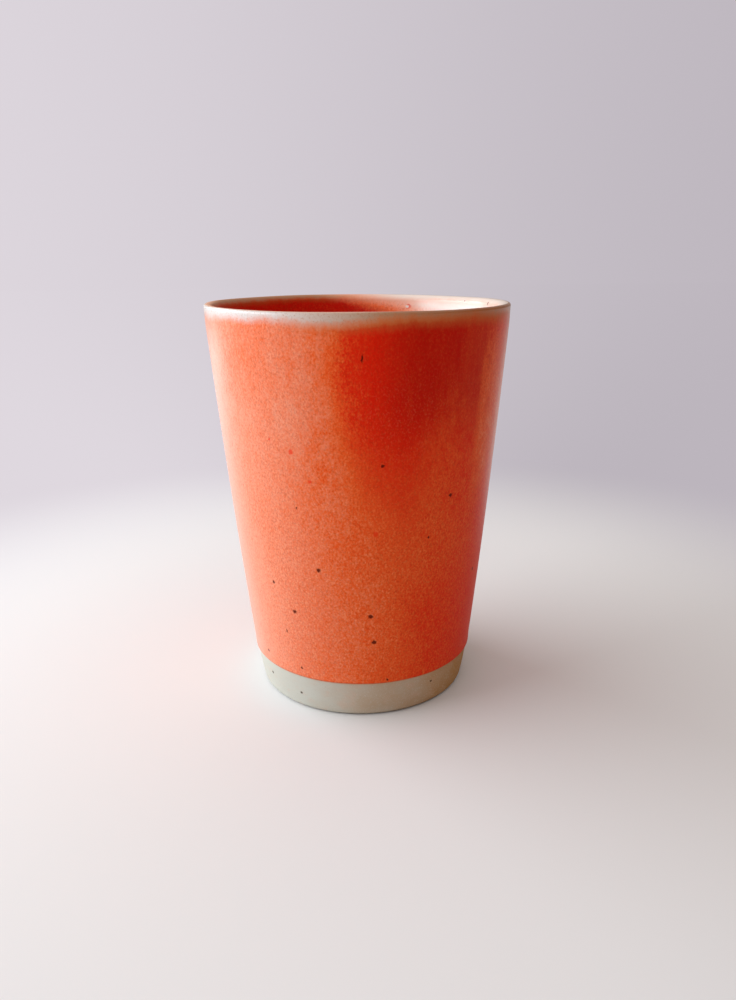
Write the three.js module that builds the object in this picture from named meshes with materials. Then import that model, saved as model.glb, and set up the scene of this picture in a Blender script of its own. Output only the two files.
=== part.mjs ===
// A coffee cup with no handle, thrown on a wheel: a stoneware body with a bare foot, a liner glaze that was
// poured inside, and an outer glaze that the cup was dipped in, down to a line above the foot.
// Millimetres, +Z up, with the origin on the table at the middle of the foot.

import * as THREE from "three";

// Overall form
const cupHeight = 105; // table to the crest of the glazed lip
const rimRadius = 39.5; // outside of the glazed lip
const footRadius = 29.3; // outside of the bare clay, its wall carried down to the table
const bellyHeight = 40; // where the lean of the lower wall turns into that of the upper wall
const bellyFullness = 1.1; // how far that turn lies outside a straight taper

// Stoneware body
const lipWall = 2.4; // clay at the lip, from its outside to its inside
const lipEdge = 0.45; // radius of the lip's outer half, the tighter one
const lipDrop = 1.6; // height of its inner half, which rounds down into the cup
const footWall = 4.2; // clay at the bottom of the wall
const floorThickness = 5; // clay between the recess underneath and the floor inside
const cornerHeight = 9; // how high up the wall the inside corner starts to turn
const cornerReach = 11; // how far across the floor it ends
const tuckHeight = 10; // how high up the bare band is trimmed inwards
const footTuck = 0.55; // how far in it is trimmed at the table
const footEdge = 1.1; // soft edge turned round the foot
const footRingWidth = 5; // flat ring that the cup stands on
const recessDepth = 0.9; // shallow recess turned inside that ring
const recessSlope = 2.2; // width of the slope between the ring and the recess

// Glaze
const glazeLine = 10.3; // height of the outer glaze's lower edge
const outerCoat = 0.32; // thickness of the outer glaze on the wall
const linerCoat = 0.3; // thickness of the liner glaze on the wall
const pooledCoat = 0.7; // thickness of the liner glaze where it ran together on the floor
const lipCoat = 0.16; // thickness of both where they ran thin over the lip
const thinDepth = 5; // how far below the lip they reach their full thickness
const edgeRound = 0.4; // height of the outer glaze's rounded lower edge
const edgeRoll = 0.12; // extra thickness of the roll that gathered just above that edge
const rollHeight = 3.2; // how far up that roll fades out
const glazeBond = 0.05; // clearance from glaze to clay, and between the two glazes at the crest

// Fineness of the facets
const turns = 72; // facets round the cup
const footSteps = 3;
const recessSteps = 3;
const bareSteps = 3;
const edgeSteps = 3;
const rollSteps = 2;
const wallSteps = 4;
const thinSteps = 2;
const lipSteps = 4;
const cornerSteps = 4;

// Finish
const stonewareGrey = 0xb4ab9c;
const glazeOrangeRed = 0xc4411d;
const glazeDarkRed = 0xab2c10;
const clayRoughness = 0.85;
const glazeRoughness = 0.2;

const { clamp, lerp, smoothstep } = THREE.MathUtils;

const point = (radius, height) => new THREE.Vector2(radius, height);

// The values from low to high in equal steps, both ends included.
const spread = (low, high, steps) =>
  Array.from({ length: steps + 1 }, (_, i) => lerp(low, high, i / steps));

// Lists end to end, where each starts on the value that the one before it ends on.
const joined = (...lists) => lists.flatMap((list, i) => (i ? list.slice(1) : list));

// A station is a point on the clay's surface and the direction out of the clay there.
// Stations run up the outside, over the lip and down the inside, so that direction is on their right.
const stationOn = (curve, t) => {
  const along = curve.getTangent(t);
  return { at: curve.getPoint(t), out: point(along.y, -along.x) };
};

// The point a distance out from a station, measured square to the clay.
const outFrom = (station, distance) => station.at.clone().addScaledVector(station.out, distance);

// The parameter at which a wall, a curve that starts at height 0, reaches a height.
function wallParameter(wall, height) {
  const rise = 2 * wall.v1.y;
  return (2 * height) / (rise + Math.sqrt(rise ** 2 + 4 * (wall.v2.y - rise) * height));
}

// In section the lip is two quarter ellipses back to back: a tight one outside, a longer one inside.
// They share the crest, and each has its reach across and up.
const lipSkin = lipEdge + glazeBond + lipCoat;
const outerLip = {
  centre: point(rimRadius - lipSkin, cupHeight - lipSkin),
  reach: point(lipEdge, lipEdge),
};
const innerLip = {
  centre: point(outerLip.centre.x, outerLip.centre.y + lipEdge - lipDrop),
  reach: point(lipWall - lipEdge, lipDrop),
};

// The station where half a lip faces a direction, given as an angle up from level outwards
function lipStation({ centre, reach }, angle) {
  const out = point(Math.cos(angle), Math.sin(angle));
  const scaled = reach.clone().multiply(out);
  const at = scaled.clone().multiply(reach).divideScalar(scaled.length()).add(centre);
  return { at, out };
}

const rimFace = outerLip.centre.x + lipEdge;
const bellyShare = bellyHeight / cupHeight;
const taperRadius = lerp(footRadius, rimFace, bellyShare);
const outerBelly = point(taperRadius + bellyFullness, bellyHeight);
const innerBelly = point(outerBelly.x - lerp(footWall, lipWall, bellyShare), bellyHeight);
const lipLean = Math.atan2(rimFace - outerBelly.x, outerLip.centre.y - outerBelly.y);

const outerWall = new THREE.QuadraticBezierCurve(
  point(footRadius, 0),
  outerBelly,
  lipStation(outerLip, -lipLean).at,
);
const innerWall = new THREE.QuadraticBezierCurve(
  point(footRadius - footWall, 0),
  innerBelly,
  lipStation(innerLip, Math.PI - lipLean).at,
);
const floorHeight = recessDepth + floorThickness;
const thinLine = outerLip.centre.y - thinDepth;

// How far in the bare band is trimmed at a height
const tuckAt = (height) => footTuck * Math.max(0, 1 - height / tuckHeight) ** 2;

// The clay's outside, from the soft edge of the foot to just under the lip
function outsideStations() {
  const roundedEdge = spread(0, Math.PI / 2, edgeSteps).map(
    (turn) => glazeLine + edgeRound * (1 - Math.cos(turn)),
  );
  const heights = joined(
    spread(footEdge, glazeLine, bareSteps),
    roundedEdge,
    spread(glazeLine + edgeRound, glazeLine + rollHeight, rollSteps),
    spread(glazeLine + rollHeight, thinLine, wallSteps),
    spread(thinLine, outerWall.v2.y, thinSteps),
  );
  return heights.slice(0, -1).map((height) => {
    const { at, out } = stationOn(outerWall, wallParameter(outerWall, height));
    return { at: at.sub(point(tuckAt(height), 0)), out };
  });
}

// Over the lip, from its outside to its inside
// There are two stations at the crest, a hair apart, where the two glazes meet.
function lipStations() {
  const crest = Math.PI / 2;
  const crestTurn = ({ reach }) => ((glazeBond / 2) * reach.y) / reach.x ** 2;
  const outerAngles = spread(-lipLean, crest - crestTurn(outerLip), lipSteps);
  const innerAngles = spread(crest + crestTurn(innerLip), Math.PI - lipLean, lipSteps);
  return [
    ...outerAngles.map((angle) => lipStation(outerLip, angle)),
    ...innerAngles.map((angle) => lipStation(innerLip, angle)),
  ];
}

// The clay's inside, from just under the lip, down the wall and the corner, to the middle of the floor
function insideStations() {
  const heights = joined(
    spread(innerWall.v2.y, thinLine, thinSteps),
    spread(thinLine, floorHeight + cornerHeight, wallSteps),
  );
  const wall = heights.slice(1).map((height) => {
    const { at, out } = stationOn(innerWall, wallParameter(innerWall, height));
    return { at, out: out.negate() };
  });
  const cornerTop = wall.at(-1);
  const lean = cornerTop.out.y / cornerTop.out.x;
  const wallFoot = point(cornerTop.at.x + lean * cornerHeight, floorHeight);
  const corner = new THREE.QuadraticBezierCurve(
    cornerTop.at,
    wallFoot,
    point(wallFoot.x - cornerReach, floorHeight),
  );
  const turn = spread(0, 1, cornerSteps).map((t) => stationOn(corner, t));
  const middle = { at: point(0, floorHeight), out: point(0, 1) };
  return [...wall, ...turn.slice(1), middle];
}

const outside = outsideStations();
const lip = lipStations();
const inside = insideStations();

// The underside, from the middle of the recess out to the start of the wall
function undersideSection() {
  const footCorner = footRadius - footTuck;
  const ringOutside = footCorner - footEdge;
  const ringInside = ringOutside - footRingWidth;
  const slope = spread(0, 1, recessSteps).map((share) =>
    point(ringInside - recessSlope * (1 - share), recessDepth * (1 - smoothstep(share, 0, 1))),
  );
  const edge = new THREE.QuadraticBezierCurve(
    point(ringOutside, 0),
    point(footCorner, 0),
    outside[0].at,
  );
  return [point(0, recessDepth), ...slope, ...edge.getPoints(footSteps).slice(0, -1)];
}

function stonewareSection() {
  const clay = [...outside, ...lip, ...inside].map((station) => station.at);
  return [...undersideSection(), ...clay];
}

// A glaze is thinnest over the lip, and has its full thickness from the thin line down.
const coatAt = (height, fullCoat) =>
  lerp(fullCoat, lipCoat, smoothstep(height, thinLine, outerLip.centre.y));

// The outer glaze starts in a quarter round, with the roll just above it.
function outerThickness({ at }) {
  const above = at.y - glazeLine;
  const rounding = clamp(above / edgeRound, 0, 1);
  const roll = edgeRoll * (1 - smoothstep(above, 0, rollHeight));
  return (coatAt(at.y, outerCoat) + roll) * Math.sqrt(1 - (1 - rounding) ** 2);
}

// The liner glaze thickens down the corner to the pool on the floor.
function linerThickness({ at }) {
  const cornerTop = floorHeight + cornerHeight;
  return coatAt(at.y, lerp(pooledCoat, linerCoat, smoothstep(at.y, floorHeight, cornerTop)));
}

function outerGlazeSection() {
  const dipped = outside.slice(bareSteps); // what stands above the bare band
  const stations = [...dipped, ...lip.slice(0, lipSteps + 1)];
  const under = stations.map((station) => outFrom(station, glazeBond));
  const over = stations.map((station) => outFrom(station, glazeBond + outerThickness(station)));
  return [...over, ...under.slice(1).reverse(), over[0]];
}

function linerGlazeSection() {
  const stations = [...lip.slice(lipSteps + 1), ...inside];
  const under = stations.map((station) => outFrom(station, glazeBond));
  const over = stations.map((station) => outFrom(station, glazeBond + linerThickness(station)));
  return [...under.reverse(), ...over];
}

// A piece turned from its section about the cup's axis
function turned(name, section, color, roughness) {
  const finish = new THREE.MeshStandardMaterial({ color, roughness, metalness: 0 });
  const piece = new THREE.Mesh(new THREE.LatheGeometry(section, turns), finish);
  piece.name = name;
  return piece;
}

// The sections are turned about the Y axis, which then stands up as Z.
const wheel = new THREE.Group();
wheel.rotation.x = Math.PI / 2;
wheel.add(
  turned("stoneware_body", stonewareSection(), stonewareGrey, clayRoughness),
  turned("outer_glaze", outerGlazeSection(), glazeOrangeRed, glazeRoughness),
  turned("liner_glaze", linerGlazeSection(), glazeDarkRed, glazeRoughness),
);

const cup = new THREE.Group();
cup.add(wheel);

export default cup;
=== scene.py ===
"""A wheel-thrown stoneware coffee cup: bare turned foot, iron-red glaze outside and in, pale broken lip.

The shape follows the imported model. The cup's lengths are in millimetres until a mesh is made, and the
stage's are in metres. Angles go round the cup from its front, which faces -Y, positive towards +X.
"""

import math
import random

import bpy
import numpy as np
from mathutils import Matrix, Vector


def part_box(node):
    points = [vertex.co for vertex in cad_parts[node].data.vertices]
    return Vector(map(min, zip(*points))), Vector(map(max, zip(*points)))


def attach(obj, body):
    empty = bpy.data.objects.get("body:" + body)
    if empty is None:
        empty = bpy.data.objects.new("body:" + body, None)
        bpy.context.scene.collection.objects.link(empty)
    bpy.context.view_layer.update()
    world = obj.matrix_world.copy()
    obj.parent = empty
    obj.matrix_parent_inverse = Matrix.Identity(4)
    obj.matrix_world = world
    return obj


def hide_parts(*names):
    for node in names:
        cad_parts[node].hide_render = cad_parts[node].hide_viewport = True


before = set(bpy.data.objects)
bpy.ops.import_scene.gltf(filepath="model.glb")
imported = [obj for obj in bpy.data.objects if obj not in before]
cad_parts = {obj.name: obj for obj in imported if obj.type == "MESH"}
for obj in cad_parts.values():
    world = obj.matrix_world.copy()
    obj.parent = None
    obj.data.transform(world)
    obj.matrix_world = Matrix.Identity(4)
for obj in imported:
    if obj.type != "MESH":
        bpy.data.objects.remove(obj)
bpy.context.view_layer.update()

MM = 0.001


def box_in_mm(node):
    """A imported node's lowest and highest corners, in millimetres."""
    low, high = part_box(node)
    return low / MM, high / MM


_, clay_high = box_in_mm("stoneware_body")
outer_low, outer_high = box_in_mm("outer_glaze")
liner_low, _ = box_in_mm("liner_glaze")

# Overall form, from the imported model
CUP_HEIGHT = outer_high.z
RIM_RADIUS = outer_high.x
GLAZE_LINE = outer_low.z
LIP_SKIN = CUP_HEIGHT - clay_high.z  # glaze on the crest of the lip
FLOOR_HEIGHT = liner_low.z  # top of the clay floor inside

# The rest of the clay's form, as it was thrown and turned
FOOT_RADIUS = 29.3
BELLY_HEIGHT = 40
BELLY_FULLNESS = 1.1
LIP_WALL = 2.4
LIP_EDGE = 0.45  # radius of the lip's outer half
LIP_DROP = 1.6  # height of its inner half
FOOT_WALL = 4.2
CORNER_HEIGHT = 9
CORNER_REACH = 11
TUCK_HEIGHT = 10
FOOT_TUCK = 0.55  # how far in the bare band is trimmed at the table
FOOT_EDGE = 1.1
FOOT_RING_WIDTH = 5
RECESS_DEPTH = 0.9
RECESS_SLOPE = 2.2

# Glaze thickness over the clay
WALL_COAT = 0.36
POOLED_COAT = 0.75
THIN_DEPTH = 5  # below the lip, where the coats have their full thickness
EDGE_ROUND = 0.4  # height of the outer coat's rounded lower edge
EDGE_ROLL = 0.12  # extra thickness just above that edge
ROLL_HEIGHT = 3.2
EMBED = 0.03  # how far a coat's hidden side sits in the clay

# How the hand shows: the rim is a hair out of round and out of level, and the dip line wanders.
OUT_OF_ROUND = 0.06
ROUND_BELOW = 20  # height up to which the wall is truly round
RIM_RISE = 0.1
RIM_TILT = 0.32
RIM_HIGH_SIDE = -115
RIM_WAVER = 0.05
LEVEL_BELOW = 50  # height up to which the wall is truly level
LINE_TILT = 0.17
LINE_HIGH_SIDE = -60
LINE_WAVER = 0.05
LINE_REACH = 8  # how far up the coat follows the wandering of its lower edge

# The meshes
AROUND = 288  # facets round the cup
EDGE_RINGS = 8  # rings in the outer coat's rounded edge
THIN_RINGS = 12  # rings from the full thickness of a coat up to the lip
WALL_RINGS = 80  # rings in the rest of a wall
HIDDEN_EVERY = 6  # one of the rings in so many is kept on the hidden side of a coat
CLAY_EVERY = 4  # one of the inner rings in so many is kept in the clay, under the liner
ON_AXIS = 1e-6  # radius under which a ring is a point

angles = np.linspace(0, 2 * np.pi, AROUND, endpoint=False)


def smooth(value, low, high):
    """0 below low and 1 above high, with a soft change between."""
    t = np.clip((value - low) / (high - low), 0, 1)
    return t * t * (3 - 2 * t)


def mix(a, b, share):
    """A share of the way from one value to another."""
    return a + (b - a) * share


def ripple(seed, waves, size):
    """A smooth wobble round the cup, of a few whole waves with random phases."""
    draw = random.Random(seed)
    total = 0 * angles
    for wave in waves:
        total = total + draw.uniform(0.5, 1) * np.cos(wave * angles + draw.uniform(0, 2 * np.pi))
    return size * total / len(waves) ** 0.5


def out_of_level(size, high_side):
    """Up by a size on one side of the cup, and down by as much on the other."""
    return size * np.cos(angles - math.radians(high_side))


round_error = ripple(3, (2, 3, 5), OUT_OF_ROUND)
lip_level = RIM_RISE + out_of_level(RIM_TILT, RIM_HIGH_SIDE) + ripple(5, (2, 4, 7), RIM_WAVER)
dip_line = out_of_level(LINE_TILT, LINE_HIGH_SIDE) + ripple(8, (3, 5, 8, 13), LINE_WAVER)


class Wall:
    """One side of the thrown wall: a curve from the table past the belly to the lip."""

    def __init__(self, foot, belly, top):
        self.foot, self.belly, self.top = foot, belly, top

    def at(self, height):
        """Radius at a height, and the direction out of the clay there."""
        rise = 2 * self.belly[1]
        t = 2 * height / (rise + np.sqrt(rise**2 + 4 * (self.top[1] - rise) * height))
        (r0, z0), (r1, z1), (r2, z2) = self.foot, self.belly, self.top
        radius = (1 - t) ** 2 * r0 + 2 * t * (1 - t) * r1 + t**2 * r2
        lean = ((1 - t) * (r1 - r0) + t * (r2 - r1)) / ((1 - t) * (z1 - z0) + t * (z2 - z1))
        length = np.sqrt(1 + lean**2)
        return radius, 1 / length, -lean / length


class HalfLip:
    """One half of the lip in section: a quarter ellipse with its crest straight above its centre."""

    def __init__(self, reach_r, reach_z):
        self.reach_r, self.reach_z = reach_r, reach_z
        self.centre_r = RIM_RADIUS - LIP_SKIN - LIP_EDGE
        self.centre_z = CUP_HEIGHT - LIP_SKIN - reach_z

    def at(self, angle):
        """Where it faces a direction, an angle up from level outwards, and that direction."""
        out_r, out_z = math.cos(angle), math.sin(angle)
        length = math.hypot(self.reach_r * out_r, self.reach_z * out_z)
        r = self.centre_r + self.reach_r**2 * out_r / length
        z = self.centre_z + self.reach_z**2 * out_z / length
        return r, z, out_r, out_z


outer_lip = HalfLip(LIP_EDGE, LIP_EDGE)
inner_lip = HalfLip(LIP_WALL - LIP_EDGE, LIP_DROP)
rim_face = outer_lip.centre_r + LIP_EDGE
belly_share = BELLY_HEIGHT / CUP_HEIGHT
belly_r = mix(FOOT_RADIUS, rim_face, belly_share) + BELLY_FULLNESS
lip_lean = math.atan2(rim_face - belly_r, outer_lip.centre_z - BELLY_HEIGHT)
outer_wall = Wall(
    (FOOT_RADIUS, 0),
    (belly_r, BELLY_HEIGHT),
    outer_lip.at(-lip_lean)[:2],
)
inner_wall = Wall(
    (FOOT_RADIUS - FOOT_WALL, 0),
    (belly_r - mix(FOOT_WALL, LIP_WALL, belly_share), BELLY_HEIGHT),
    inner_lip.at(math.pi - lip_lean)[:2],
)
thin_line = outer_lip.centre_z - THIN_DEPTH


class Station:
    """A ring round the clay's surface: radius, height and outward direction at each angle."""

    def __init__(self, r, z, out_r, out_z):
        self.r = r + 0 * angles
        self.z = z + 0 * angles
        self.out_r = out_r + 0 * angles
        self.out_z = out_z + 0 * angles

    def ring(self, distance=0):
        """The ring's points a distance out of the clay, with the cup's small unevenness."""
        r = self.r + self.out_r * distance
        z = self.z + self.out_z * distance
        r = r + round_error * smooth(z, ROUND_BELOW, CUP_HEIGHT) * r / RIM_RADIUS
        z = z + lip_level * smooth(z, LEVEL_BELOW, CUP_HEIGHT)
        return np.column_stack([r * np.sin(angles), -r * np.cos(angles), z])


def outside_station(height):
    """A station on the outer wall, which is trimmed inwards above the table."""
    height = height + 0 * angles
    r, out_r, out_z = outer_wall.at(height)
    tuck = FOOT_TUCK * np.clip(1 - height / TUCK_HEIGHT, 0, 1) ** 2
    return Station(r - tuck, height, out_r, out_z)


def steps(low, high, count):
    """Equal steps from low to just before high."""
    return [mix(low, high, i / count) for i in range(count)]


def outside_heights():
    """Heights up the outside, close together where the glaze begins and where it thins."""
    turns = steps(0, math.pi / 2, EDGE_RINGS)
    rounded = [GLAZE_LINE + EDGE_ROUND * (1 - math.cos(turn)) for turn in turns]
    return [
        *rounded,
        *steps(GLAZE_LINE + EDGE_ROUND, GLAZE_LINE + ROLL_HEIGHT, count=10),
        *steps(GLAZE_LINE + ROLL_HEIGHT, thin_line, WALL_RINGS),
        *steps(thin_line, outer_wall.top[1], THIN_RINGS),
    ]


def lip_stations(half, start, end, count):
    """Stations over one half of the lip, between two directions that it faces."""
    return [Station(*half.at(angle)) for angle in [*steps(start, end, count), end]]


def corner_stations():
    """Down the inside corner, from the wall to the flat of the floor."""
    r, out_r, out_z = inner_wall.at(FLOOR_HEIGHT + CORNER_HEIGHT)
    top = np.array([r, FLOOR_HEIGHT + CORNER_HEIGHT])
    foot = np.array([r + out_z / out_r * CORNER_HEIGHT, FLOOR_HEIGHT])
    end = foot - np.array([CORNER_REACH, 0])
    stations = []
    for t in [*steps(0, 1, count=24), 1]:
        at = (1 - t) ** 2 * top + 2 * t * (1 - t) * foot + t**2 * end
        along = (1 - t) * (foot - top) + t * (end - foot)
        along = along / np.linalg.norm(along)
        stations.append(Station(at[0], at[1], along[1], -along[0]))
    for r in [*steps(end[0], 0, count=14)[1:], 0]:
        stations.append(Station(r, FLOOR_HEIGHT, 0, 1))
    return stations


def inside_stations():
    """The liner's stations, from just under the lip to the middle of the floor."""
    heights = [
        *steps(inner_wall.top[1], thin_line, THIN_RINGS)[1:],
        *steps(thin_line, FLOOR_HEIGHT + CORNER_HEIGHT, WALL_RINGS),
    ]
    stations = []
    for height in heights:
        r, out_r, out_z = inner_wall.at(height)
        stations.append(Station(r, height, -out_r, -out_z))
    return stations + corner_stations()


def mesh_object(name, rings, closed, material):
    """A piece from rings of points. An end ring on the axis becomes one point."""
    verts, faces, starts = [], [], []
    for ring in rings:
        on_axis = np.hypot(ring[:, 0], ring[:, 1]).max() < ON_AXIS
        starts.append((len(verts), on_axis))
        verts.extend((ring[:1] if on_axis else ring) * MM)
    pairs = list(zip(starts, starts[1:]))
    if closed:
        pairs.append((starts[-1], starts[0]))
    for (low, low_point), (high, high_point) in pairs:
        for i in range(AROUND):
            j = (i + 1) % AROUND
            if low_point:
                faces.append((low, high + j, high + i))
            elif high_point:
                faces.append((low + i, low + j, high))
            else:
                faces.append((low + i, low + j, high + j, high + i))
    mesh = bpy.data.meshes.new(name)
    mesh.from_pydata([tuple(v) for v in verts], [], faces)
    mesh.validate()
    mesh.shade_smooth()
    mesh.materials.append(material)
    piece = bpy.data.objects.new(name, mesh)
    bpy.context.scene.collection.objects.link(piece)
    return piece


# Shader maths


class Signal:
    """A number on a node's socket, so that shader maths can be written as Python."""

    def __init__(self, finish, socket):
        self.finish, self.socket = finish, socket

    def _math(self, operation, *values):
        return self.finish.add("Math", {"operation": operation}, dict(enumerate(values)))

    def __add__(self, other):
        return self._math("ADD", self, other)

    def __sub__(self, other):
        return self._math("SUBTRACT", self, other)

    def __rsub__(self, other):
        return self._math("SUBTRACT", other, self)

    def __mul__(self, other):
        return self._math("MULTIPLY", self, other)

    __radd__ = __add__
    __rmul__ = __mul__

    def least(self, other):
        """The lesser of this and another."""
        return self._math("MINIMUM", self, other)

    def step(self, low, high):
        """0 below low and 1 above high, or the other way round, with a soft change between."""
        ends = {"From Min": low, "From Max": high}
        return self.finish.add("MapRange", {"interpolation_type": "SMOOTHSTEP"}, {"Value": self, **ends})

    def ramp(self, low, high):
        """The same with an even change between."""
        return self.finish.add("MapRange", {}, {"Value": self, "From Min": low, "From Max": high})


class Finish:
    """The shading of a material or of the world, in the making."""

    def __init__(self, owner, coordinates="Object"):
        owner.use_nodes = True
        self.tree = owner.node_tree
        self.tree.nodes.clear()
        self.place = self.add("TexCoord", out=coordinates)

    def add(self, kind, settings=(), sockets=(), out=0):
        """Any node: its type, its settings, and the values or links of its sockets."""
        node = self.tree.nodes.new("ShaderNode" + kind)
        for key, value in dict(settings).items():
            setattr(node, key, value)
        for key, value in dict(sockets).items():
            if isinstance(value, Signal):
                self.tree.links.new(value.socket, node.inputs[key])
            else:
                node.inputs[key].default_value = value
        return Signal(self, node.outputs[out]) if node.outputs else None

    def vector(self, operation, a, b=(0, 0, 0), out=0):
        """An operation on vectors. Lengths and dot products come out of the socket Value."""
        return self.add("VectorMath", {"operation": operation}, {0: a, 1: b}, out)

    def noise(self, size, stretch=(1, 1, 1), detail=2.0, roughness=0.5):
        """Noise from 0 to 1, with features of about a size in millimetres, stretched along an axis."""
        scale = [1 / (MM * size * s) for s in stretch]
        place = self.vector("MULTIPLY", self.place, scale)
        values = {"Vector": place, "Scale": 1.0, "Detail": detail, "Roughness": roughness}
        return self.add("TexNoise", {}, values)

    def blend(self, low, high, share):
        """One colour into another."""
        factor, first, second, result = 0, 6, 7, 2  # the node's sockets for colours, by number
        return self.add("Mix", {"data_type": "RGBA"}, {factor: share, first: low, second: high}, result)

    def bump(self, height, depth, under=None):
        """A bump of a real depth in millimetres, over another one if there is one."""
        sockets = {"Height": height, "Distance": depth * MM}
        if under:
            sockets["Normal"] = under
        return self.add("Bump", {}, sockets)

    def surface(self, **sockets):
        """The finished surface, from a Principled shader."""
        named = {key.replace("_", " "): value for key, value in sockets.items()}
        self.add("OutputMaterial", {}, {"Surface": self.add("BsdfPrincipled", {}, named)})


def paint(code):
    """A colour from its sRGB code, as the linear values that a shader takes."""
    parts = [int(code[i : i + 2], 16) / 255 for i in (0, 2, 4)]
    return [p / 12.92 if p <= 0.04045 else ((p + 0.055) / 1.055) ** 2.4 for p in parts] + [1.0]


# Colours of the glaze on the outer wall; the pale orange partly stands for painted light on the lit left
DARK_RED = paint("be0a00")
DEEP_RED = paint("dc1600")
ORANGE_RED = paint("e85e26")
PALE_ORANGE = paint("e79276")
DUST_ORANGE = paint("f09848")
DUST_PALE = paint("f8a880")
GRAIN_DARK = paint("a02a0c")
EDGE_DARK = paint("8c1c08")

# Colours of the glaze inside, from its shaded to its lit side as painted light; the palest is a painted
# highlight
LINER_RED = paint("d41200")
LINER_ORANGE = paint("f8743c")
LINER_BLUSH = paint("ffb494")
LINER_PALE_HIGHLIGHT = paint("efe5dc")

# Colours at the lip, where the glaze is thin and breaks, and of the painted highlight on its crest
BROKEN_PALE = paint("d4d1d0")
BROKEN_TAN = paint("b89270")
BROKEN_BROWN = paint("a4602e")
BROKEN_ORANGE = paint("c26230")
LIP_GLOW = paint("e27430")
CREST_HIGHLIGHT = paint("f6bea0")

# Colours of the specks and of the clay; the speck colour also paints shade at the foot
IRON_BROWN = paint("4c0802")
SPECK_RED = paint("e8300e")
CLAY_GREY = paint("bfc0b7")
CLAY_WARM = paint("b08554")
CLAY_PALE = paint("c8c6bc")
CLAY_BLUSH = paint("d0a58c")
CLAY_FLASH = paint("cc8850")
CLAY_SPECK_AND_SHADE = paint("4a3a2c")

# Colours of the stage, and of the soft light round it
FLOOR_WHITE = paint("e6e8ea")
BACKDROP_LIGHT = paint("dfd8df")
BACKDROP_DARK = paint("bcb5bd")
AMBIENT_LEFT = (0.76, 0.73, 0.7, 1.0)
AMBIENT_RIGHT = (0.16, 0.08, 0.04, 1.0)
AMBIENT_TOP = (0.7, 0.63, 0.6, 1.0)

# Specks, each as its angle, its height, half its width and half its length
FRONT_SPECKS = [
    (1, 95, 0.3, 1.0),
    (8, 70, 0.44, 0.44),
    (37.5, 60.5, 0.48, 0.55),
    (-25.5, 59, 0.22, 0.32),
    (28, 50.5, 0.3, 0.36),
    (-18, 43, 0.52, 0.6),
    (-42, 37, 0.42, 0.5),
    (-31.5, 30, 0.6, 0.55),
    (-37.5, 23.5, 0.24, 0.6),
    (3.5, 30.5, 0.65, 0.6),
    (5, 23, 0.65, 0.6),
    (-55, 14, 0.42, 0.42),
    (-31, 13.2, 0.36, 0.42),
    (11.5, 11.4, 0.36, 0.36),
    (62, 36, 0.42, 0.5),
]
RED_SPECKS = [
    (-26, 73, 0.6, 0.7),
    (-19, 66, 0.45, 0.5),
    (5.5, 53, 0.65, 0.75),
    (-35, 75.5, 0.28, 0.45),
]
INNER_SPECKS = [
    (123.4, 104, 0.35, 0.45),
    (104.3, 104.1, 0.4, 1.0),
]
CLAY_SPECKS = [
    (-56, 6.6, 0.45, 0.45),
    (-34, 4.6, 0.45, 0.45),
    (37, 7.1, 0.4, 0.35),
]
PINHOLE = (155, 101.7, 0.9, 0.75)
PINHOLE_MIDDLE = (155.5, 101.7, 0.54, 0.45)
SPECK_EDGE = 1.25, 0.6  # where a speck is gone and where it is full, as shares of its half width

# Sides of the cup that several finishes turn on
LEFT_FRONT = -60
RIGHT_FRONT = 60
BRIGHT_INSIDE = 105


def back_specks():
    """Iron specks over the rest of the cup, more of them low down, as on the front."""
    draw = random.Random(21)
    count, lowest, spread = 20, 13, 80
    found = []
    for _ in range(count):
        angle = draw.uniform(75, 285)
        height = lowest + spread * draw.random() ** 1.5
        size = draw.uniform(0.3, 0.6)
        found.append((angle, height, size, size * draw.uniform(0.8, 1.5)))
    return found


def speck_mask(finish, specks, wall, coat, ragged):
    """1 on the specks and 0 off them, with soft and ragged edges."""
    nearest = None
    for angle, height, width, length in specks:
        turn = math.radians(angle)
        r = float(wall.at(height)[0]) + coat
        centre = (r * math.sin(turn) * MM, -r * math.cos(turn) * MM, height * MM)
        away = finish.vector("SUBTRACT", ragged, centre)
        scaled = finish.vector("MULTIPLY", away, (1 / (width * MM), 1 / (width * MM), 1 / (length * MM)))
        reach = finish.vector("LENGTH", scaled, out="Value")
        nearest = nearest.least(reach) if nearest else reach
    return nearest.step(*SPECK_EDGE)


def ragged_place(finish, size, amount):
    """The place on the surface, shifted by a fine noise, which makes round marks ragged."""
    values = {"Vector": finish.place, "Scale": 1 / (MM * size), "Detail": 1.0}
    shift = finish.add("TexNoise", {}, values, "Color")
    centred = finish.vector("SUBTRACT", shift, (0.5, 0.5, 0.5))
    scaled = finish.vector("MULTIPLY", centred, (amount * MM,) * 3)
    return finish.vector("ADD", finish.place, scaled)


def height_of(finish):
    """Height on the cup in millimetres."""
    return finish.add("SeparateXYZ", {}, {0: finish.place}, "Z") * (1 / MM)


def from_axis(finish):
    """The way from the cup's axis to the surface, without its height."""
    return finish.vector("MULTIPLY", finish.place, (1, 1, 0))


def radius_of(finish):
    """Distance from the cup's axis in millimetres."""
    return finish.vector("LENGTH", from_axis(finish), out="Value") * (1 / MM)


def facing(finish, angle):
    """1 on the side of the cup at an angle, 0 at right angles to it and -1 on the far side."""
    turn = math.radians(angle)
    outward = finish.vector("NORMALIZE", from_axis(finish))
    return finish.vector("DOT_PRODUCT", outward, (math.sin(turn), -math.cos(turn), 0), "Value")


def above_dip_line(finish, z):
    """Height in millimetres above the outer glaze's lower edge."""
    return z - GLAZE_LINE - LINE_TILT * facing(finish, LINE_HIGH_SIDE)


# Finishes. Heights in their masks are above the table: the crest of the lip is at 105.


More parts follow.
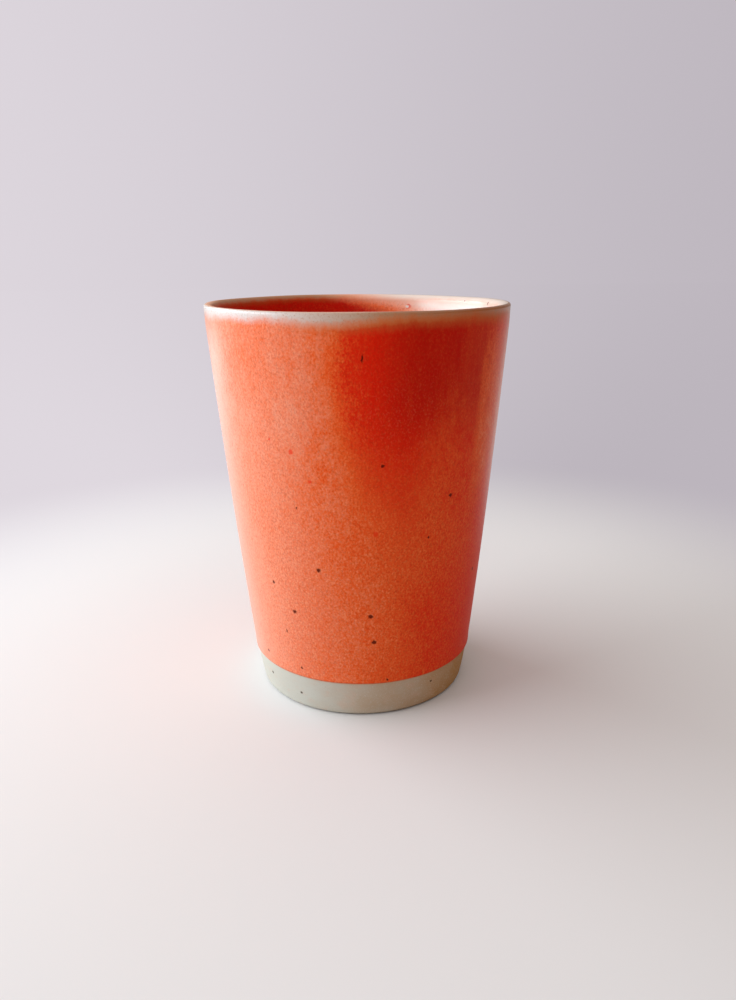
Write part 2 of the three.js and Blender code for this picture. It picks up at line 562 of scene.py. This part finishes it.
def overlap_and_shade_patch(finish, z, cloud, grain):
    """1 on a deep red patch on the front, open at the lip: partly where the dip overlapped and lies
    thickest, partly painted shade.
    """
    left_end = (facing(finish, 32) + cloud * 0.2 + grain * 0.2).step(0.73, 0.89)
    right_end = (facing(finish, -5) + cloud * 0.15 + grain * 0.1).step(0.54, 0.6)
    slant = 60 * (1 - facing(finish, 40)) + 25 * facing(finish, 90).step(0.25, 0.6)
    return left_end * right_end * (z + cloud * 25 + grain * 25 - slant).step(38, 78)


def glaze_tone(finish, z):
    """How pale the outer glaze is, 0 deep red to 1 pale orange: partly how thin it lies, partly painted
    light and shade.
    """
    cloud = finish.noise(14, (1, 1, 1.6), detail=3.0) - 0.5
    blotch = finish.noise(2, (1, 1, 1.6)) - 0.5
    streak = finish.noise(1.2, (1, 1, 14)) - 0.5
    grain = finish.noise(0.55, (1, 1, 1.3), detail=1.0, roughness=0.6) - 0.5
    side = facing(finish, RIGHT_FRONT)

    # Thin and pale on the left, partly painted light and reflection on the lit side, and thicker again round
    # the back
    back = facing(finish, 200).step(0.3, 1.0)
    back_left = facing(finish, -130).step(0.5, 0.95)
    thin_glaze_and_lit_side = (1.35 - side) * 0.5 - back * 0.15 - back_left * 0.4

    # A thin place to the right of the deep red patch, and thicker ones low on the right and high on the left
    beside = (facing(finish, 95) + cloud * 0.1).step(0.66, 0.74) * side.step(0, 0.8)
    beside = beside * (z + cloud * 30).step(45, 80) * (z + cloud * 30).step(102, 84)
    low_right = facing(finish, 50).step(0.75, 1.0) * z.step(50, 30)
    top_left = facing(finish, -45).step(0.75, 1.0) * z.step(80, 92)
    wash = thin_glaze_and_lit_side + beside * 0.22 - low_right * 0.08 - top_left * 0.1
    wash = wash + cloud * (back * 0.35 + 0.25) + blotch * (z.step(40, 80) * 0.25 + 0.15)

    # Two pale streaks below the lip, which are painted reflections, and fine streaks in the glaze
    right_reflection_streak = facing(finish, 44).step(0.99, 1.0) * z.step(84, 97)
    left_reflection_streak = facing(finish, -25).step(0.985, 1.0) * z.step(60, 85)
    reflection_and_fine_streaks = (right_reflection_streak + left_reflection_streak) * 0.1 + streak * z.step(50, 98) * 0.15

    # The deep red patch: partly thicker glaze, partly painted shade where the wall reflects only dark
    # surroundings
    thick_and_shaded = overlap_and_shade_patch(finish, z, cloud, grain)
    return wash * (1 - 0.92 * thick_and_shaded) - 0.04 * thick_and_shaded + reflection_and_fine_streaks + grain * (0.5 - 0.3 * thick_and_shaded)


def mottled(finish, base, paleness, strength):
    """The glaze's fine break-up: paler grains, more of them where the glaze is paler, partly from thin glaze
    and partly from painted light, and a few darker ones.
    """
    pale = finish.noise(0.5, (1, 1, 1.2), detail=1.0, roughness=0.6).step(0.46, 0.7)
    dark = finish.noise(0.45, (1, 1, 1.2), detail=1.0, roughness=0.6).step(0.52, 0.3)
    dust = finish.blend(DUST_ORANGE, DUST_PALE, paleness.ramp(0.2, 0.6))
    base = finish.blend(base, dust, pale * paleness.step(-0.25, 0.7) * strength)
    return finish.blend(base, GRAIN_DARK, dark * 0.24)


def lip_feather(finish):
    """How far up or down, in millimetres, the glaze breaks at the lip."""
    wander = (finish.noise(9, detail=1.0) - 0.5) * 1.4
    drawn = (finish.noise(2.2, (1, 1, 1.6)) - 0.5) * 1.4
    return wander + drawn + (finish.noise(0.5, (1, 1, 1.3), roughness=0.6) - 0.5) * 0.9


def lip_narrowing(finish, side):
    """How much narrower, in millimetres, the broken band is on the left and from the front rightwards."""
    left = facing(finish, LEFT_FRONT).step(0.7, 0.9)
    right = facing(finish, 80).step(0.8, 0.95)
    return side.ramp(0.35, 0.75) * 1.3 + left * 0.95 - right * 0.6 - 0.15


def painted_crest_highlight(finish, base):
    """A painted highlight along the crest of the lip, where it faces up: a pale line on the front and the
    left.
    """
    up = finish.add("SeparateXYZ", {}, {0: finish.add("TexCoord", out="Normal")}, "Z")
    share = up.step(0.75, 0.97) * height_of(finish).step(103.8, 104.4) * facing(finish, -45).step(0.5, 0.75)
    return finish.blend(base, CREST_HIGHLIGHT, share)


def broken_lip(finish, base, side, edge):
    """The glaze broken over the lip: tan in front, paler on the left and browner on the right, partly
    painted light and shade, freckled.
    """
    # Pale on the lit left and brown on the shaded right: partly the broken glaze, partly painted light and
    # shade
    broken = finish.blend(BROKEN_PALE, BROKEN_TAN, side.ramp(0, 0.62))
    broken = finish.blend(broken, BROKEN_BROWN, side.ramp(0.5, 1.05))
    broken = finish.blend(broken, BROKEN_TAN, facing(finish, -140).step(0.4, 0.95) * 0.55)
    freckle = finish.noise(0.45, roughness=0.7).step(0.5, 0.75)
    broken = finish.blend(broken, BROKEN_BROWN, freckle * 0.5)
    base = finish.blend(base, BROKEN_ORANGE, edge.step(99.0, 102.6) * side.ramp(0, 0.6) * 0.75)
    base = finish.blend(base, broken, edge.step(101.0, 103.8) * 0.95)
    glow = edge.step(101.0, 102.2) * edge.step(103.8, 102.6)
    base = finish.blend(base, LIP_GLOW, glow * side.step(-0.2, 0.4) * side.step(1.1, 0.6) * 0.35)
    return painted_crest_highlight(finish, base)


def wall_gloss(finish, z, side):
    """How glossy the outer wall is: most towards its outline, less low down, not at all low on the right."""
    grazing = finish.add("LayerWeight", {}, {"Blend": 0.5}, "Facing")
    sheen = (grazing + facing(finish, LEFT_FRONT) * 0.1).step(0.47, 0.9)
    sheen = sheen * (1 - side.step(0, 0.6) * z.step(70, 35))
    return sheen * (0.9 - z.step(95, 55) * 0.14)


def red_glaze_outside():
    """Iron-red glaze: deep red where it lies thicker and where shade is painted, paler on the left where
    light is painted, fine orange mottling lower down, tan at the lip with a painted highlight on its crest.
    """
    material = bpy.data.materials.new("red_glaze_outside")
    finish = Finish(material)
    z = height_of(finish)
    side = facing(finish, RIGHT_FRONT)
    tone = glaze_tone(finish, z)
    # Deepest red high on the right front: partly thicker glaze, partly painted shade
    darkest_and_shaded = facing(finish, 34).step(0.85, 0.99) * z.step(68, 88)
    base = finish.blend(DEEP_RED, DARK_RED, darkest_and_shaded)
    base = finish.blend(base, ORANGE_RED, tone.step(-0.08, 0.55))
    base = finish.blend(base, PALE_ORANGE, tone.ramp(0.4, 0.95))
    base = mottled(finish, base, tone, 0.34 - z.step(35, 75) * 0.1)
    dots = finish.noise(0.4, (1, 1, 1.3), detail=0.0).step(0.56, 0.74)
    base = finish.blend(base, DUST_PALE, dots * tone.step(0.5, -0.1) * z.step(104, 80) * 0.055)
    base = finish.blend(base, EDGE_DARK, above_dip_line(finish, z).step(0.6, 0.1) * 0.45)

    edge = z + lip_feather(finish) - lip_narrowing(finish, side)
    base = broken_lip(finish, base, side, edge)

    ragged = ragged_place(finish, 0.45, 0.6)
    red = speck_mask(finish, RED_SPECKS, outer_wall, WALL_COAT, ragged)
    base = finish.blend(base, SPECK_RED, red * 0.7)
    iron = speck_mask(finish, FRONT_SPECKS + back_specks(), outer_wall, WALL_COAT, ragged)
    base = finish.blend(base, IRON_BROWN, iron * 0.9)
    lip_gloss = edge.step(101.5, 104) * 0.9
    glossy(finish, base, (wall_gloss(finish, z, side) + lip_gloss + 0.02).least(1))
    return material


def burst_bubble(finish, base, ragged):
    """A pinhole with a torn red rim round a pale middle, which is a painted highlight."""
    torn = ragged_place(finish, 0.8, 0.9)
    rim = speck_mask(finish, [PINHOLE], inner_wall, -WALL_COAT, torn)
    base = finish.blend(base, SPECK_RED, rim * 0.7)
    middle = speck_mask(finish, [PINHOLE_MIDDLE], inner_wall, -WALL_COAT, ragged)
    return finish.blend(base, LINER_PALE_HIGHLIGHT, middle)


def red_glaze_inside():
    """The same glaze inside: deep red on the shaded side, through orange, to a pale band on the bright side
    of the lip, painted light and a painted highlight.
    """
    material = bpy.data.materials.new("red_glaze_inside")
    finish = Finish(material)
    z = height_of(finish)
    bright = facing(finish, BRIGHT_INSIDE)
    cloud = finish.noise(10, (1, 1, 1.6), detail=3.0) - 0.5
    grain = finish.noise(0.6, (1, 1, 1.5), roughness=0.6) - 0.5
    # Paler towards the bright side, which is painted light, and towards the lip, where the glaze thins
    thin_glaze_and_lit_side = bright + (z - 102) * 0.08 + cloud * 0.15 + grain * 0.1
    lower_clouds = (cloud * 0.6 + 0.12) * z.step(99, 85)
    tone = thin_glaze_and_lit_side.ramp(0.2, 0.55) + lower_clouds + grain * 0.2
    base = finish.blend(LINER_RED, LINER_ORANGE, tone.ramp(0, 0.6))
    base = finish.blend(base, LINER_BLUSH, tone.ramp(0.6, 1.1))
    base = mottled(finish, base, tone * 0.5, 0.33)
    # The painted highlight on the bright side
    base = finish.blend(base, LINER_PALE_HIGHLIGHT, thin_glaze_and_lit_side.step(0.5, 0.88))

    edge = z + lip_feather(finish) * 0.6
    base = finish.blend(base, BROKEN_ORANGE, edge.step(102.6, 104.6) * 0.7)
    base = finish.blend(base, BROKEN_TAN, edge.step(104.0, 105.2) * 0.8)
    base = finish.blend(base, LINER_BLUSH, edge.step(101.6, 104.4) * thin_glaze_and_lit_side.step(0.1, 0.6) * 0.9)
    base = finish.blend(base, LINER_PALE_HIGHLIGHT, edge.step(102.6, 104.6) * thin_glaze_and_lit_side.step(0.4, 0.85) * 0.9)
    base = painted_crest_highlight(finish, base)

    ragged = ragged_place(finish, 0.6, 0.35)
    iron = speck_mask(finish, INNER_SPECKS, inner_wall, -WALL_COAT, ragged)
    base = finish.blend(base, IRON_BROWN, iron * 0.9)
    base = burst_bubble(finish, base, ragged)
    lip_gloss = bright.step(0.1, 0.8) * z.step(80, 100) * 0.85
    glossy(finish, base, lip_gloss + z.step(100, 70) * 0.3 + 0.1)
    return material


def glossy(finish, base, gloss):
    """The glaze's skin: a soft gloss over faint swells and grain."""
    swell = finish.bump(finish.noise(6, (1, 1, 1.5), detail=1.0), 0.05)
    skin = finish.bump(finish.noise(0.75, roughness=0.65), 0.012, under=swell)
    finish.surface(
        Base_Color=base,
        Roughness=0.5,
        Normal=skin,
        IOR=1.5,
        Specular_IOR_Level=0.08,
        Specular_Tint=(1.0, 0.6, 0.4, 1.0),
        Coat_Weight=gloss,
        Coat_IOR=1.6,
        Coat_Roughness=0.22,
    )


def bare_stoneware():
    """Fired clay with no glaze: fine grain, faint turning lines, a flash under the glaze, iron specks, and
    painted shade: browner on the right, dark round the foot.
    """
    material = bpy.data.materials.new("bare_stoneware")
    finish = Finish(material)
    z = height_of(finish)
    cloud = finish.noise(9, (1, 1, 0.8), detail=3.0)
    grain = finish.noise(0.35, detail=3.0, roughness=0.7)
    turning = finish.noise(0.5, (30, 30, 1))
    # Browner towards the shaded right: partly the clay's own cloudy tone, partly painted shade
    shaded_side_warmth = facing(finish, 90) * 0.66 + 0.38
    base = finish.blend(CLAY_GREY, CLAY_WARM, (shaded_side_warmth + (cloud - 0.5) * 0.6).ramp(0, 1))
    tint = finish.noise(3.5, (1, 1, 0.7))
    base = finish.blend(base, CLAY_BLUSH, tint.step(0.5, 0.75) * 0.22)
    base = finish.blend(base, CLAY_PALE, grain.step(0.52, 0.75) * 0.6)
    base = finish.blend(base, CLAY_SPECK_AND_SHADE, grain.step(0.4, 0.2) * 0.35)
    base = finish.blend(base, CLAY_FLASH, above_dip_line(finish, z).step(-0.6, -0.05) * 0.6)

    # Painted shade: a dark line round the foot's rounded edge, darker on the right
    painted_foot_shade = z.step(0.9, 0.3) * radius_of(finish).step(27.7, 28.4)
    foot_shade_strength = facing(finish, RIGHT_FRONT).step(-0.3, 0.7) * 0.35 + 0.2
    base = finish.blend(base, CLAY_SPECK_AND_SHADE, painted_foot_shade * foot_shade_strength)

    ragged = ragged_place(finish, 0.5, 0.3)
    specks = speck_mask(finish, CLAY_SPECKS, outer_wall, 0, ragged)
    base = finish.blend(base, CLAY_SPECK_AND_SHADE, specks * 0.95)
    lines = finish.bump(turning, 0.03)
    skin = finish.bump(grain, 0.02, under=lines)
    finish.surface(Base_Color=base, Roughness=0.78, Normal=skin, IOR=1.5, Specular_IOR_Level=0.05)
    return material


# The three pieces


def stoneware_piece():
    """The clay. Only its foot, its underside and its bare band show."""
    foot_corner = FOOT_RADIUS - FOOT_TUCK
    ring_outside = foot_corner - FOOT_EDGE
    ring_inside = ring_outside - FOOT_RING_WIDTH
    recess = [0, *steps(2, ring_inside - RECESS_SLOPE, count=10)]
    stations = [Station(r, RECESS_DEPTH, 0, -1) for r in recess]
    for share in [*steps(0, 1, count=8), 1]:
        drop = RECESS_DEPTH * (1 - smooth(share, 0, 1))
        stations.append(Station(ring_inside - RECESS_SLOPE * (1 - share), drop, 0, -1))
    edge_top = outside_station(FOOT_EDGE)
    for t in steps(0, 1, count=8):
        r = (1 - t) ** 2 * ring_outside + 2 * t * (1 - t) * foot_corner + t**2 * edge_top.r
        stations.append(Station(r, t**2 * FOOT_EDGE, 1, 0))
    under_glaze = GLAZE_LINE + 1  # just above the glaze line, from where the clay is hidden
    heights = [
        *steps(FOOT_EDGE, under_glaze, count=24),
        *steps(under_glaze, outer_wall.top[1], count=20),
    ]
    stations += [outside_station(height) for height in heights]
    stations += lip_stations(outer_lip, -lip_lean, math.pi / 2, count=6)
    stations += lip_stations(inner_lip, math.pi / 2, math.pi - lip_lean, count=8)[1:]
    stations += inside_stations()[::CLAY_EVERY] + [Station(0, FLOOR_HEIGHT, 0, 1)]
    rings = [station.ring() for station in stations]
    return mesh_object("stoneware_foot_and_body", rings, False, bare_stoneware())


def coat_at(height, full):
    """A coat's thickness at a height: full on the wall, thin over the lip."""
    return mix(full, LIP_SKIN, smooth(height, thin_line, outer_lip.centre_z))


def outer_glaze_piece():
    """The dipped coat, from its wandering lower edge to the crest of the lip."""
    over, under = [], []
    for height in outside_heights():
        above = height - GLAZE_LINE
        station = outside_station(height + dip_line * (1 - smooth(above, 0, LINE_REACH)))
        rounding = min(above / EDGE_ROUND, 1)
        roll = EDGE_ROLL * (1 - smooth(above, 0, ROLL_HEIGHT))
        coat = (coat_at(height, WALL_COAT) + roll) * math.sqrt(max(0, 1 - (1 - rounding) ** 2))
        over.append(station.ring(coat))
        under.append(station.ring(-EMBED))
    for station in lip_stations(outer_lip, -lip_lean, math.pi / 2, count=12):
        over.append(station.ring(LIP_SKIN))
        under.append(station.ring(-EMBED))
    hidden = [*under[:1], *under[EDGE_RINGS:-1:HIDDEN_EVERY], under[-1]]
    return mesh_object("outer_glaze_coat", [*over, *hidden[::-1]], True, red_glaze_outside())


def liner_glaze_piece():
    """The poured coat, from the crest of the lip down to the pool on the floor."""
    over, under = [], []
    stations = lip_stations(inner_lip, math.pi / 2, math.pi - lip_lean, count=18)
    for station in stations + inside_stations():
        height = station.z[0]
        full = mix(POOLED_COAT, WALL_COAT, smooth(height, FLOOR_HEIGHT, FLOOR_HEIGHT + CORNER_HEIGHT))
        over.append(station.ring(coat_at(height, full)))
        under.append(station.ring(-EMBED))
    hidden = [*under[:-1:HIDDEN_EVERY], under[-1]]
    return mesh_object("liner_glaze_coat", [*hidden[::-1], *over], False, red_glaze_inside())


def stand_in_for(piece, node):
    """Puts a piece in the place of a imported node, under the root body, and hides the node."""
    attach(piece, "root")
    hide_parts(node)


stand_in_for(stoneware_piece(), "stoneware_body")
stand_in_for(outer_glaze_piece(), "outer_glaze")
stand_in_for(liner_glaze_piece(), "liner_glaze")

# The stage, in metres
FLOOR_REACH = 3.0
FLOOR_LEVEL = -0.02 * MM  # a hair below the foot ring
FLOOR_FADE = 0.11, 0.26  # how far from the cup the floor starts and ends its fade into the backdrop


def backdrop(finish, across):
    """The colour behind the cup, lighter on the left, where light is painted on it."""
    return finish.blend(BACKDROP_LIGHT, BACKDROP_DARK, across.step(-0.6, 0.6))


def floor():
    """A pale floor that fades into the backdrop, as seen by the camera, with no edge or horizon."""
    mesh = bpy.data.meshes.new("floor")
    sides = [(-1, -1), (1, -1), (1, 1), (-1, 1)]
    corners = [(x * FLOOR_REACH, y * FLOOR_REACH, FLOOR_LEVEL) for x, y in sides]
    mesh.from_pydata(corners, [], [(0, 1, 2, 3)])
    plane = bpy.data.objects.new("floor", mesh)
    bpy.context.scene.collection.objects.link(plane)
    material = bpy.data.materials.new("pale_floor")
    finish = Finish(material)
    pale = finish.add("BsdfDiffuse", {}, {"Color": FLOOR_WHITE})
    outward = finish.vector("NORMALIZE", finish.place)
    across = finish.add("SeparateXYZ", {}, {0: outward}, "X")
    sweep = finish.add("Emission", {}, {"Color": backdrop(finish, across)})
    away = finish.vector("LENGTH", finish.place, out="Value")
    seen = finish.add("LightPath", out="Is Camera Ray")
    share = seen * away.step(*FLOOR_FADE)
    surface = finish.add("MixShader", {}, {0: share, 1: pale, 2: sweep})
    finish.add("OutputMaterial", {}, {"Surface": surface})
    mesh.materials.append(material)


def softbox(name, place, width, height, radiance, color):
    """A rectangular soft light that faces the cup and has a set radiance."""
    light = bpy.data.lights.new(name, "AREA")
    light.shape = "RECTANGLE"
    light.size, light.size_y = width, height
    light.energy = radiance * math.pi * width * height
    light.color = color
    lamp = bpy.data.objects.new(name, light)
    to_cup = Vector((0, 0, CUP_HEIGHT / 2 * MM)) - Vector(place)
    lamp.matrix_world = Matrix.Translation(place) @ to_cup.to_track_quat("-Z", "Y").to_matrix().to_4x4()
    lamp.visible_camera = False
    bpy.context.scene.collection.objects.link(lamp)


def studio():
    """A big window-like light on the left, and soft light all round that falls off to the right."""
    softbox(
        "window",
        place=(-0.605, 0.085, 0.273),
        width=1.0,
        height=0.45,
        radiance=4.5,
        color=(0.96, 1.0, 1.03),
    )
    world = bpy.data.worlds.new("studio")
    bpy.context.scene.world = world
    finish = Finish(world, "Generated")
    across = finish.add("SeparateXYZ", {}, {0: finish.place}, "X")
    up = finish.add("SeparateXYZ", {}, {0: finish.place}, "Z")
    around = finish.blend(AMBIENT_LEFT, AMBIENT_RIGHT, across.ramp(-1, 1))
    around = finish.blend(around, AMBIENT_TOP, up.step(0.2, 1.0))
    ambient = finish.add("Background", {}, {"Color": around})
    behind = finish.add("Background", {}, {"Color": backdrop(finish, across)})
    seen = finish.add("LightPath", out="Is Camera Ray")
    surface = finish.add("MixShader", {}, {0: seen, 1: ambient, 2: behind})
    finish.add("OutputWorld", {}, {"Surface": surface})


def camera():
    """The photograph's viewpoint: hand-held just above the rim, tilted down, a hair off level."""
    place = (-0.0007, -0.2151, 0.1166)
    tilt, pan, roll = 0.2967, 0.0132, -0.0119  # radians
    data = bpy.data.cameras.new("camera")
    data.lens = 28.8
    data.clip_start = 0.01
    eye = bpy.data.objects.new("camera", data)
    eye.matrix_world = (
        Matrix.Translation(place)
        @ Matrix.Rotation(-pan, 4, "Z")
        @ Matrix.Rotation(math.pi / 2 - tilt, 4, "X")
        @ Matrix.Rotation(roll, 4, "Z")
    )
    bpy.context.scene.collection.objects.link(eye)
    bpy.context.scene.camera = eye


floor()
studio()
camera()
bpy.context.scene.view_settings.view_transform = "Standard"
